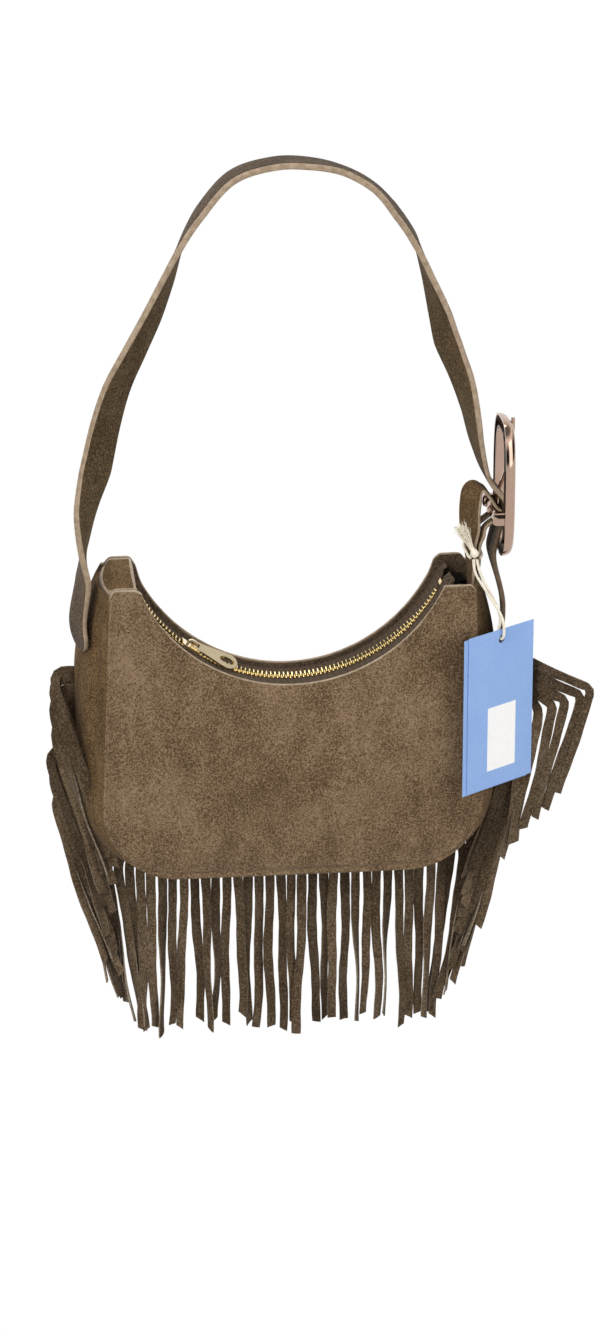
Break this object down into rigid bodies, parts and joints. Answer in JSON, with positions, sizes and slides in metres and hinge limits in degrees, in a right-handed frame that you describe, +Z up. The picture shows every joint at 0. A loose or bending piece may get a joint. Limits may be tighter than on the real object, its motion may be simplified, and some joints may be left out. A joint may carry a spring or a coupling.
{
  "type": "shoulder bag",
  "caption": "small suede baguette shoulder bag with a scooped zip mouth, cut fringe round the base and sides, a strap with a ring buckle and a swing tag",
  "frame": {"origin": "middle of the flat underside of the strap's crown, where the bag hangs", "axes": "+Z up, +X to the right seen from the front, -Y out of the front panel"},
  "size_m": [0.3658, 0.0695, 0.5815],
  "materials": {
    "suede": "brushed taupe-brown suede with a short nap",
    "strap": "taupe-brown suede band with pale painted edges",
    "fringe": "suede with raw cut edges",
    "lining": "plain woven lining",
    "tape": "dark brown herringbone zip tape",
    "gold": "pale gold plate, polished",
    "rose_gold": "rose gold plate, polished",
    "string": "cream cotton string",
    "card": "plain blue card",
    "sticker": "plain white sticker"
  },
  "bodies": {
    "bag": {"front_panel": "suede", "back_panel": "suede", "gusset": "suede", "lining": "lining", "zip_tape_front": "tape", "zip_tape_rear": "tape", "zip_teeth_front": "gold", "zip_teeth_rear": "gold", "zip_top_stop_front": "gold", "zip_top_stop_rear": "gold", "zip_bottom_stop": "gold", "strap": "strap", "strap_tab": "suede", "fringe": "fringe", "tag_string_wrap": "string", "tag_knot": "string"},
    "slider": {"zip_slider": "gold"},
    "puller": {"zip_puller": "gold"},
    "buckle": {"buckle_frame": "rose_gold", "buckle_bar": "rose_gold"},
    "prong": {"buckle_prong": "rose_gold"},
    "tag": {"tag_card": "card", "tag_backing_card": "card", "price_sticker": "sticker", "tag_string": "string"}
  },
  "joints": [
    {"name": "zip_travel", "type": "hinge", "parent": "bag", "child": "slider", "pos_m": [0, 0, -0.21737], "axis": [0, 1, 0], "range_deg": [-93, 22], "deforming": ["zip_teeth_front", "zip_teeth_rear", "zip_tape_front", "zip_tape_rear"]},
    {"name": "puller_swing", "type": "hinge", "parent": "slider", "child": "puller", "pos_m": [-0.06102, 0, -0.30136], "axis": [0, -1, 0], "range_deg": [0, 150]},
    {"name": "buckle_tilt", "type": "hinge", "parent": "bag", "child": "buckle", "pos_m": [0.128, 0, -0.22], "axis": [0, 1, 0], "range_deg": [-8, 4]},
    {"name": "prong_swing", "type": "hinge", "parent": "buckle", "child": "prong", "pos_m": [0.128, 0, -0.22], "axis": [0, 1, 0], "range_deg": [0, 20]},
    {"name": "tag_swing", "type": "hinge", "parent": "bag", "child": "tag", "pos_m": [0.1145, -0.0155, -0.2487], "axis": [-0.7986, -0.6018, 0], "range_deg": [0, 45]}
  ]
}
